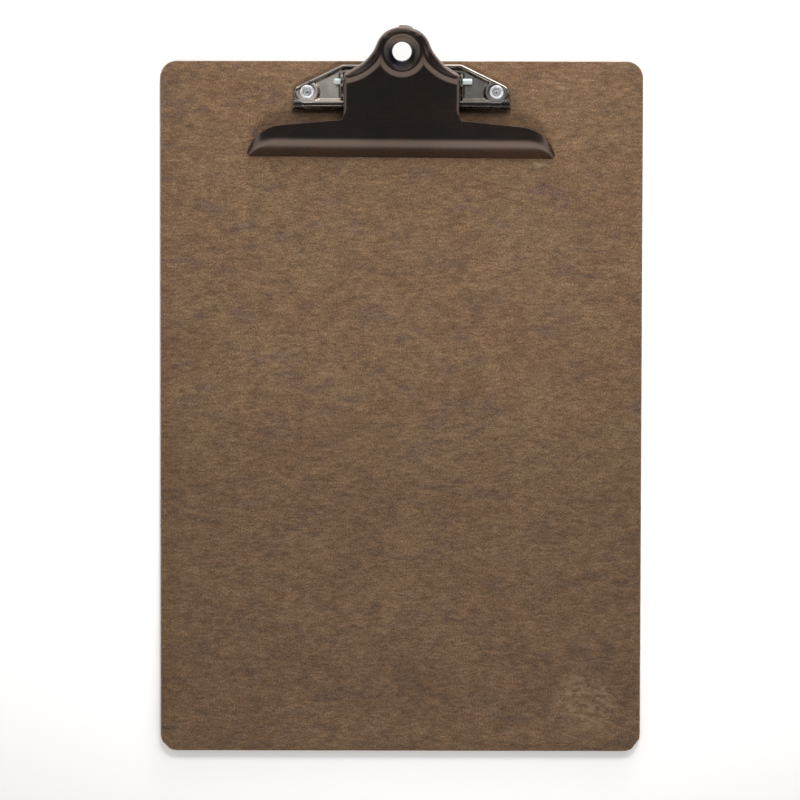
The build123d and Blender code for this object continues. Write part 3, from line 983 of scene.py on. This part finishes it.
def make_plate(material):
    loop, turned = plate_loop()
    normal = outward(loop)
    roll = RIM_ROLL * turned
    inset = loop - normal * roll[:, None]
    holes = [window_loop(1), window_loop(-1)[::-1]]
    holes += [circle((side * RIVET_X, RIVET_Y), RIVET_HOLE) for side in (1, -1)]
    points, faces = fill([inset, *holes], plate_guides(), 0.75, 0.2)
    z = plate_z(points[:, 0], points[:, 1])
    verts = [np.column_stack([points, z])]
    count = len(loop)
    edge_z = z[:count]
    rings = []
    for ring, drop in rolled(inset, normal, roll, range(15, 91, 15)):
        rings.append(np.column_stack([ring, edge_z - drop]))
    low = BOARD_TOP + 0.02
    rolled_z = edge_z - roll
    for share in (0.5, 1.0):
        rings.append(np.column_stack([loop, rolled_z - (rolled_z - low) * share * turned]))
    keep = (turned > 0) | (np.roll(turned, -1) > 0)
    faces += strip(range(count), rings, len(points), keep=keep)
    verts += rings
    mesh = tidy_bmesh(np.concatenate(verts), faces)
    thicken(mesh, SHEET * 0.9, low)
    for side in (1, -1):
        ear = ear_mesh(side)
        data = bpy.data.meshes.new("ear")
        ear.to_mesh(data)
        ear.free()
        mesh.from_mesh(data)
        bpy.data.meshes.remove(data)
    make_piece("pressed_base_plate", mesh, [material], "base", ["base_plate"])


# ---------------------------------------------------------------- rivets, pin and spring


def polar_mesh(profile, count, wobble=None):
    """A solid of revolution about Z from (radius, height) points, top to bottom."""
    profile = np.array(profile, float)
    angles = np.linspace(0, 2 * math.pi, count, endpoint=False)
    verts, faces = [], []
    for radius, height in profile:
        rise = wobble(radius, height, angles) if wobble else np.zeros(count)
        verts += list(zip(radius * np.cos(angles), radius * np.sin(angles), height + rise))
    for row in range(len(profile) - 1):
        for i in range(count):
            j = (i + 1) % count
            a, b = row * count, (row + 1) * count
            faces.append((a + i, b + i, b + j, a + j))
    faces += [range(count), range(len(verts) - 1, len(verts) - count - 1, -1)]
    mesh = new_bmesh(verts, faces)
    mesh.normal_update()
    return mesh


CURL_RADIUS = 3.3
DIMPLE_RADIUS = 2.2
CURL_RISE = 0.42
RIVET_FOLDS = 7
HEAD_RADIUS = rivet_high[0] - RIVET_X


def make_rivet(side, material, node):
    seat, crown = RIM_TOP - 0.22, rivet_high[2]

    def wobble(radius, height, angles):
        share = smooth((DIMPLE_RADIUS + 0.25 - radius) / 0.5) * smooth((radius - 0.35) / 0.6)
        above = height > seat - 1.4
        lobes = np.cos(RIVET_FOLDS * angles + side) * 0.11 + np.cos(3 * angles + 2 * side) * 0.05
        return lobes * share * above

    profile = [(0.25, seat - 1.5), (0.55, seat - 1.45), (0.85, seat - 1.15), (1.15, seat - 0.65)]
    profile += [(1.6, seat - 0.05), (1.85, seat + 0.35), (2.05, seat + 0.66)]
    half_width = (CURL_RADIUS - DIMPLE_RADIUS) / 2
    for angle in np.radians(np.arange(150, -1, -15)):
        radius = CURL_RADIUS - half_width + half_width * math.cos(angle)
        profile.append((radius, crown - CURL_RISE + CURL_RISE * math.sin(angle)))
    profile += [(CURL_RADIUS - 0.03, seat + 0.3), (CURL_RADIUS - 0.2, seat)]
    neck_z = rivet_low[2] + 0.9
    shank = RIVET_HOLE - 0.1
    profile += [(shank, seat - 0.1), (shank, neck_z), (HEAD_RADIUS - 0.06, neck_z)]
    profile += [(HEAD_RADIUS, neck_z - 0.08), (HEAD_RADIUS, neck_z - 0.4)]
    profile += [(HEAD_RADIUS - 0.12, neck_z - 0.6), (HEAD_RADIUS - 0.5, neck_z - 0.78)]
    profile += [(HEAD_RADIUS - 1.4, neck_z - 0.88), (2.0, rivet_low[2]), (0.6, rivet_low[2])]
    mesh = polar_mesh(profile, 84, wobble)
    bmesh.ops.translate(mesh, vec=(side * RIVET_X, RIVET_Y, 0), verts=mesh.verts)
    make_piece(f"curled_{node}", mesh, [material], "base", [node])


def make_pin(material):
    left, right = pin_low[0], pin_high[0]
    profile = [(0.2, right), (pin_radius - 0.22, right), (pin_radius - 0.08, right - 0.05)]
    profile += [(pin_radius, right - 0.2), (pin_radius, left + 1.0)]
    for angle in np.radians(np.arange(15, 80, 13)):
        profile.append((0.5 + (pin_radius - 0.5) * math.cos(angle), left + 1.0 - math.sin(angle)))
    profile.append((0.3, left))
    mesh = polar_mesh(profile, 64)
    along_x = Matrix.Rotation(math.pi / 2, 3, "Y")
    bmesh.ops.rotate(mesh, cent=(0, 0, 0), matrix=along_x, verts=mesh.verts)
    bmesh.ops.translate(mesh, vec=(0, PIVOT_Y, PIVOT_Z), verts=mesh.verts)
    make_piece("zinc_hinge_pin", mesh, [material], "base", ["hinge_pin"])


WIRE_RADIUS = 0.79
COIL_RADIUS = 2.7
COIL_PITCH = 1.65
BASE_LEG_ANGLE = -39.0
LEVER_LEG_ANGLE = 14.5
COIL_START = BASE_LEG_ANGLE - 90
COIL_END = LEVER_LEG_ANGLE + 90
COIL_TURNS = 14 + (COIL_START - COIL_END) / 360
BASE_LEG = 8.7
LEVER_LEG = 7.9


def spring_line():
    """The wire's centre line: leg on the base, close left-hand coil, leg under the lever."""
    coil_length = COIL_PITCH * COIL_TURNS
    t = np.linspace(0, 1, int(COIL_TURNS * 40))
    angle = np.radians(COIL_START - 360 * COIL_TURNS * t)
    coil = np.stack([
        -coil_length / 2 + coil_length * t,
        PIVOT_Y + COIL_RADIUS * np.cos(angle),
        PIVOT_Z + COIL_RADIUS * np.sin(angle),
    ], 1)
    first_way = coil[0] - coil[1]
    last_way = coil[-1] - coil[-2]
    first_way /= np.linalg.norm(first_way)
    last_way /= np.linalg.norm(last_way)
    base_leg = coil[0] + first_way * np.linspace(BASE_LEG, 0.4, 14)[:, None]
    lever_leg = coil[-1] + last_way * np.linspace(0.4, LEVER_LEG, 14)[:, None]
    return np.concatenate([base_leg, coil, lever_leg])


def make_spring(material):
    line = spring_line()
    sides = 16
    along = np.gradient(line, axis=0)
    along /= np.linalg.norm(along, axis=1)[:, None]
    across = np.cross(along, (1.0, 0, 0))
    across /= np.linalg.norm(across, axis=1)[:, None]
    third = np.cross(along, across)
    turns = np.linspace(0, 2 * math.pi, sides, endpoint=False)
    ring = across[:, None] * np.cos(turns)[:, None] + third[:, None] * np.sin(turns)[:, None]
    radii = np.full(len(line), WIRE_RADIUS)
    radii[[0, -1]] = WIRE_RADIUS * 0.86
    points = (line[:, None] + ring * radii[:, None, None]).reshape(-1, 3)
    faces = []
    for i in range(len(line) - 1):
        for j in range(sides):
            k = (j + 1) % sides
            a, b = i * sides, (i + 1) * sides
            faces.append((a + j, a + k, b + k, b + j))
    faces += [range(sides - 1, -1, -1), range(len(points) - sides, len(points))]
    mesh = new_bmesh(points, faces)
    mesh.normal_update()
    name = "coiled_torsion_spring"
    spring = make_piece(name, mesh, [material], None, ["torsion_spring"])
    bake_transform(spring)


# ---------------------------------------------------------------- board

CORNER_RADIUS = 8.0
ARRIS = 0.45
SEAT_RADIUS = HEAD_RADIUS + 0.1
SEAT_TOP = rivet_low[2] + 0.9


def board_loop():
    """The board's outline, its two lower corners knocked off."""
    x, y = board_high[0], board_high[1]
    top_right = corner_round((x, 0), (x, y), (0, y), CORNER_RADIUS, 24)
    low_right = corner_round((0, -y), (x, -y), (x, 0), CORNER_RADIUS, 24)
    top_left = top_right[::-1] * (-1, 1)
    low_left = low_right[::-1] * (-1, 1)
    corners = [low_right, top_right, top_left, low_left]
    runs = []
    for i, corner in enumerate(corners):
        runs.append(spaced(corner, 0.7)[:-1])
        runs.append(spaced([corner[-1], corners[(i + 1) % 4][0]], 1.4)[:-1])
    loop = np.concatenate(runs)
    loop = cut_corner(loop, (-1, -1), 4.9, 5.3)
    return cut_corner(loop, (1, -1), 6.3, 4.8)


def cut_corner(loop, side, along_y, along_x):
    """Moves the points of a corner in to the straight line of a knocked-off edge."""
    x, y = board_high[0], board_high[1]
    a = np.array([x, y - along_y])
    normal = np.array([along_y, along_x]) / math.hypot(along_y, along_x)
    at = loop * side
    over = (at - a) @ normal
    rough = 0.06 * np.sin(at[:, 0] * 5.3) + 0.05 * np.sin(at[:, 1] * 3.1 + 1)
    near = (at[:, 0] > x - CORNER_RADIUS - 2) & (at[:, 1] > y - CORNER_RADIUS - 2)
    push = np.where(near & (over > 0), over + rough * np.minimum(over, 1), 0)
    return (at - normal * push[:, None]) * side


def make_board(front, edge, back):
    loop = board_loop()
    normal = outward(loop)
    count = len(loop)
    place = np.arange(count)
    wear = 0.12 * np.sin(place * 0.83) * np.sin(place * 0.117 + 2) + 0.1 * np.sin(place * 0.31 + 1)
    worn = ARRIS * (1 + wear)
    inset = loop - normal * worn[:, None]
    rivets = [circle((side * RIVET_X, RIVET_Y), RIVET_HOLE) for side in (1, -1)]
    seats = [circle((side * RIVET_X, RIVET_Y), SEAT_RADIUS) for side in (1, -1)]
    verts, faces, kinds = [], [], []

    def add(points, new_faces, kind):
        faces.extend(new_faces)
        kinds.extend([kind] * len(new_faces))
        verts.extend(points)

    def lifted(points, z):
        return [(p[0], p[1], z) for p in points]

    points, triangles = fill([inset, *rivets], [], 9.0, 1.0)
    add(lifted(points, BOARD_TOP), triangles, 0)
    rings = []
    for ring, drop in rolled(inset, normal, worn, (30, 60, 90)):
        rings.append(np.column_stack([ring, BOARD_TOP - drop]))
    for z in (BOARD_TOP * 0.66, BOARD_TOP * 0.33):
        rings.append(np.column_stack([loop, np.full(count, z)]))
    for ring, rise in rolled(inset, normal, worn, (90, 60, 30, 0)):
        rings.append(np.column_stack([ring, rise]))
    add(np.concatenate(rings), strip(range(count), rings, len(verts)), 1)
    base = len(verts)
    points, triangles = fill([inset, *seats], [], 9.0, 1.0)
    add(lifted(points, 0), [tuple(base + i for i in t[::-1]) for t in triangles], 2)
    for rivet, seat in zip(rivets, seats):
        rings = [(rivet, BOARD_TOP), (rivet, SEAT_TOP), (seat, SEAT_TOP), (seat, 0)]
        base, steps = len(verts), len(rivet)
        rows = [np.array(lifted(*ring)) for ring in rings]
        new_faces = strip(range(base, base + steps), rows[1:], base + steps)
        add(np.concatenate(rows), [face[::-1] for face in new_faces], 1)
    mesh = new_bmesh(verts, faces)
    for face, kind in zip(mesh.faces, kinds):
        face.material_index = kind
    bmesh.ops.remove_doubles(mesh, verts=mesh.verts, dist=0.002)
    mesh.normal_update()
    make_piece("hardboard_sheet", mesh, [front, edge, back], "base", ["board"])


# ---------------------------------------------------------------- metal finishes

# Places in all the finishes are in millimetres, and the heights of bumps in metres. A noise's
# scale counts its waves in a metre.


def scratches(tree, turn, scale):
    """Fine straight scratches running one way: thin bright lines of stretched noise."""
    return noise(tree, scale, 2.0, 0.6, stretch=(0.05, 1, 1), turn=turn).remap(0.66, 0.72)


def bronze_lacquer():
    """Steel brushed along the jaw, under a dark bronze lacquer."""
    material, tree = new_material("bronze_lacquered_steel")
    brush = noise(tree, 2400.0, 2.0, 0.7, stretch=(0.025, 1, 1))
    streak = noise(tree, 900.0, 3.0, 0.6, stretch=(0.05, 1, 1))
    cloud = noise(tree, 90.0)
    brown, grey = (0.134, 0.097, 0.080, 1), (0.118, 0.096, 0.085, 1)
    colour = mix(tree, cloud.remap(0.35, 0.7), grey, brown)
    x, y, _ = place_mm(tree)
    lines = brush.remap(0.3, 0.7) * streak.remap(0.3, 0.7)
    tone = lines.remap(0.0, 1.0, 0.97, 1.08)
    # Painted reflection: the panel made lighter towards the right; it is also made lighter towards
    # the body's sides.
    tone = tone * abs(x).remap(10, 26, 1.0, 1.15) * x.remap(0, 60, 1.0, 1.08)

    # The nib at the handle's end is made lighter.
    tone = tone * y.remap(178.8, 179.6, 1.0, 2.6)
    colour = colour.scaled(tone)

    # Painted shade low in the dish: its dark reflection, bluish on the left and greenish on the
    # right.
    hole_y = lever_point(np.array([(0, HOLE_V)]), PANEL_W)[0, 1]
    above = y - hole_y
    dish_shade = length(x, above).remap(5.8, 9.6, 0.85, 0.0) * above.remap(0.5, 6.2, 1.0, 0.0)
    dish_shade_colour = mix(tree, x.remap(-2, 5), (0.022, 0.024, 0.036, 1), (0.036, 0.038, 0.030, 1))
    colour = mix(tree, dish_shade, colour, dish_shade_colour)
    roughness = brush * 0.10 + 0.19 + cloud.remap(0.3, 0.75, 0.0, 0.04)
    normal = bump(tree, streak, 0.000004, 0.3, bump(tree, brush, 0.000006, 0.5))
    constants = {"Metallic": 1.0, "Anisotropic": 0.35, "Coat Weight": 0.15, "Coat Roughness": 0.12}
    constants["Tangent"] = add_node(tree, "ShaderNodeCombineXYZ", {"X": 1.0})
    finish(tree, colour, roughness, normal, constants)
    return material


def rim_distance(x, y):
    """Distance inside the plate's top and sloping edges."""
    along = (math.cos(SLOPE_ANGLE), math.sin(SLOPE_ANGLE))
    start = PLATE_END_RADIUS + end_centre[0] * along[0] + end_centre[1] * along[1]
    sloping = (abs(x) * along[0] + y * along[1]) * -1.0 + start
    return sloping.math("MINIMUM", y * -1.0 + PLATE_TOP_Y)


def from_rivet(x, y):
    """How far a point is outward of the nearer rivet, and how far from it."""
    outward_by = abs(x) - RIVET_X
    return outward_by, length(outward_by, y - RIVET_Y)


def nickel_painted_shade(tree, x, y, z):
    """Where painted shade darkens the nickel: in the groove, along the rim's folds, round the
    plate's outer ends and up the ears."""
    groove = y.within(GROOVE_Y - 0.35, GROOVE_Y + 0.35, 0.15)
    fold = y.within(145.6, 146.05, 0.2) * 0.45
    inward = rim_distance(x, y)
    left = inward.within(-0.5, 0.45, 0.15).most(inward.within(1.25, 2.1, 0.25))
    right = inward.within(0.75, 1.15, 0.15).most(inward.within(1.8, 2.3, 0.2))
    rim = mix_value(tree, x.remap(-1, 1), left, right) * y.remap(147.0, 149.0) * 0.78
    outward_by, reach = from_rivet(x, y)
    end = reach.remap(4.9, 5.7) * outward_by.remap(0.5, 3.0) * 0.72
    foot = abs(x).within(27.3, 30.0, 0.3) * y.within(147.3, 159.2, 0.4) * 0.75
    ear = z.remap(6.2, 7.4, 0.0, 0.75).most(foot)
    return groove.most(fold).most(rim).most(end.most(ear))


def nickel():
    """Bright nickel over pressed steel: slightly wavy, cloudy and scratched."""
    material, tree = new_material("nickel_plated_steel")
    cloud = noise(tree, 160.0, 4.0)
    grain = noise(tree, 3200.0, 2.0)
    marks = scratches(tree, 0.5, 260.0).most(scratches(tree, -1.1, 340.0))
    bright, dull = (0.64, 0.59, 0.52, 1), (0.50, 0.46, 0.41, 1)
    colour = mix(tree, cloud.remap(0.35, 0.7), bright, dull)
    x, y, z = place_mm(tree)
    # Painted highlight: the rim on the plate's right side made lighter.
    rim = rim_distance(x, y).remap(2.2, 2.6, 1.0, 0.0) * y.remap(146.5, 148) * x.remap(5, 25)
    # Painted reflection: the plate made lighter on the left and darker on the right.
    painted_floor_reflection = x.remap(-40, 42, 1.40, 0.66)
    colour = colour.scaled(mix_value(tree, rim, painted_floor_reflection, 1.55))
    # Painted shade: a dark colour laid in the groove, along the rim's folds, round the plate's
    # outer ends and up the ears.
    colour = mix(tree, nickel_painted_shade(tree, x, y, z), colour, (0.05, 0.047, 0.048, 1))
    colour = mix(tree, marks * 0.3, colour, (0.74, 0.71, 0.66, 1))
    roughness = cloud.remap(0.3, 0.7, 0.13, 0.24) + marks * 0.10
    wavy = bump(tree, noise(tree, 190.0, 2.0), 0.00005, 0.4)
    finish(tree, colour, roughness, bump(tree, grain, 0.000006, 0.3, wavy), {"Metallic": 1.0})
    return material


def rivet_shade_and_patches(tree):
    """Clean zinc on the curl, painted shade inside the dimple, darkest in its middle, and dull
    patches.
    """
    x, y, _ = place_mm(tree)
    reach = from_rivet(x, y)[1]
    ring = reach.within(1.45, 2.0, 0.25).remap(0.0, 1.0, 1.0, 0.5)
    patch = noise(tree, 420.0, 2.0).remap(0.42, 0.62, 0.62, 1.0)
    return ring * patch * reach.remap(0.35, 0.8, 0.25, 1.0)


def zinc(name, base, dull, low, high, metallic=1.0, shade=None):
    """Zinc or wire finish: mottled colour and roughness with fine turning lines round X."""
    material, tree = new_material(name)
    spangle = noise(tree, 900.0)
    lines = noise(tree, 2400.0, 2.0, stretch=(1, 0.05, 0.05))
    colour = mix(tree, spangle.remap(0.35, 0.7), (*base, 1), (*dull, 1))
    if shade:
        colour = colour.scaled(shade(tree))
    normal = bump(tree, spangle + lines, 0.000012, 0.5)
    finish(tree, colour, spangle.remap(0.3, 0.7, low, high), normal, {"Metallic": metallic})
    return material


# ---------------------------------------------------------------- hardboard finishes


def blotch(tree, place, radii, turn, softness):
    """1 inside a soft-edged ellipse on the board."""
    source = add_node(tree, "ShaderNodeTexCoord", output="Object")
    centre = (place[0] * MM, place[1] * MM, 0)
    moved = add_node(tree, "ShaderNodeVectorMath", {0: source, 1: centre}, operation="SUBTRACT")
    turned = add_node(tree, "ShaderNodeMapping", {"Vector": moved, "Rotation": (0, 0, turn)})
    x, y, _ = axes(tree, turned)
    reach = length(x / (radii[0] * MM), y / (radii[1] * MM))
    return reach.remap(1 - softness, 1 + softness, 1.0, 0.0)


def fibre_height(tree):
    """Matted wood fibre: short strands lying every way."""
    strands = [
        noise(tree, scale, 4.0, 0.7, 0.6, stretch=(0.35, 1, 1), turn=turn)
        for turn, scale in ((0.15, 620.0), (1.2, 700.0), (-0.9, 760.0))
    ]
    return (strands[0] + strands[1] + strands[2]) / 3.0


def hardboard_front():
    """The smooth face: cloudy brown with fibre grain, faint level streaks, specks and scuffs."""
    material, tree = new_material("hardboard_front")
    fibre = fibre_height(tree)
    grain = noise(tree, 1350.0, 3.0, 0.75)
    mottle = noise(tree, 230.0, 4.0, 0.65, stretch=(0.6, 1, 1))
    cloud = noise(tree, 36.0, 3.0, 0.55, 0.4, stretch=(0.7, 1, 1))
    streak = noise(tree, 210.0, 3.0, 0.6, stretch=(0.12, 1, 1))
    smudge = noise(tree, 150.0, 3.0, 0.6, 0.5, stretch=(0.5, 1, 1))
    x, y, _ = place_mm(tree)
    side = abs(x)
    middle = y.within(-85, -5, 30)
    tone = fibre.remap(0.38, 0.62, 0.72, 1.25)
    for value, low, high, least, most in (
        (grain, 0.32, 0.68, 0.60, 1.36),
        (mottle, 0.32, 0.68, 0.86, 1.10),
        (cloud, 0.32, 0.70, 0.97, 1.03),
        (streak, 0.3, 0.7, 0.98, 1.02),
        (side, 70, 116, 1.0, 0.95),
        # Painted light: the board made lighter towards the top and darker towards the bottom.
        (y, -150, 150, 0.93, 1.05),
        (y, -160, -135, 1.12, 1.0),
        (middle, 0.0, 1.0, 1.0, 0.94),
    ):
        tone = tone * value.remap(low, high, least, most)

    # Painted shade in the slot between the base plate and the jaw.
    slot_shade = y.within(138.5, 145.0, 2.8) * side.remap(48, 53, 1.0, 0.0)
    tone = tone * slot_shade.remap(0.0, 1.0, 1.0, 0.55)
    yellow, brown = (0.131, 0.081, 0.045, 1), (0.128, 0.075, 0.042, 1)
    colour = mix(tree, cloud.remap(0.3, 0.7), brown, yellow)
    colour = mix(tree, smudge.remap(0.53, 0.68) * 0.75, colour, (0.100, 0.063, 0.044, 1))

    # Dark flecks of bark.
    inputs = {"Vector": object_point(tree), "Scale": 330.0}
    cell = add_node(tree, "ShaderNodeTexVoronoi", inputs, "Color")
    reach = cell.other("Distance")
    chosen = add_node(tree, "ShaderNodeSeparateColor", {0: cell}).remap(0.92, 0.97)
    fleck = chosen * reach.remap(0.12, 0.30, 1.0, 0.0)
    tone = tone * fleck.remap(0.0, 1.0, 1.0, 0.74)

    # Scuffs: a rubbed patch low on the right, marks by the jaw's corner and short scratches.
    torn = noise(tree, 330.0, 4.0, 0.7, stretch=(0.5, 1, 1), turn=0.6).remap(0.44, 0.60)
    patch = blotch(tree, (89, -141), (15.0, 13.0), 0.4, 0.35)
    corner = blotch(tree, (66, 116), (5.2, 1.8), 0.45, 0.5)
    line = blotch(tree, (82, -158), (4.5, 0.35), 0.35, 0.4)
    tick = blotch(tree, (36.5, -16), (1.6, 0.3), 0.8, 0.5)
    scuff = (patch.most(corner) * torn).most(line.most(tick) * 0.8)
    colour = mix(tree, scuff * 0.5, colour.scaled(tone), (0.230, 0.165, 0.098, 1))
    normal = bump(tree, grain + streak, 0.00005, 0.5, bump(tree, fibre, 0.00012, 0.6))
    roughness = mottle.remap(0.3, 0.7, 0.52, 0.68)
    finish(tree, colour, roughness, normal, {"Specular IOR Level": 0.3})
    return material


def hardboard_edge():
    """The sawn edge: pressed layers of lighter fibre."""
    material, tree = new_material("hardboard_edge")
    layers = noise(tree, 700.0, 4.0, 0.7, stretch=(0.3, 0.3, 2.2))
    both = (layers + noise(tree, 1500.0, 4.0, 0.75)) * 0.5
    colour = mix(tree, both.remap(0.35, 0.65), (0.105, 0.066, 0.038, 1), (0.235, 0.165, 0.105, 1))
    finish(tree, colour, 0.85, bump(tree, both, 0.0003, 0.7), {"Specular IOR Level": 0.2})
    return material


MESH_PITCH = 1.6


def hardboard_back():
    """The screen side: the print of the wire mesh that the pulp was pressed on."""
    material, tree = new_material("hardboard_back")
    x, y, _ = place_mm(tree)
    waves = [(value * (2 * math.pi / MESH_PITCH)).math("SINE") for value in (x, y)]
    weave = waves[0] * waves[1]
    fibre = fibre_height(tree)
    cloud = noise(tree, 60.0, 4.0)
    tone = fibre.remap(0.38, 0.62, 0.8, 1.15) * weave.remap(-1.0, 1.0, 0.82, 1.1)
    colour = mix(tree, cloud.remap(0.3, 0.7), (0.125, 0.077, 0.044, 1), (0.155, 0.10, 0.06, 1))
    normal = bump(tree, fibre, 0.0002, 0.6, bump(tree, weave, 0.00025, 0.8))
    finish(tree, colour.scaled(tone), 0.82, normal, {"Specular IOR Level": 0.25})
    return material


# ---------------------------------------------------------------- the object

make_board(hardboard_front(), hardboard_edge(), hardboard_back())
make_plate(nickel())
clean_zinc, dull_zinc = (0.97, 0.97, 0.99), (0.85, 0.86, 0.90)
rivet_finish = zinc("bright_zinc_rivet", clean_zinc, dull_zinc, 0.14, 0.26, 0.55, rivet_shade_and_patches)
make_rivet(-1, rivet_finish, "rivet_left")
make_rivet(1, rivet_finish, "rivet_right")
make_pin(zinc("zinc_plated_pin", (0.50, 0.56, 0.54), (0.42, 0.49, 0.47), 0.28, 0.42, 0.45))
make_spring(zinc("oiled_spring_wire", (0.38, 0.38, 0.39), (0.26, 0.26, 0.27), 0.22, 0.38))
make_lever(bronze_lacquer())
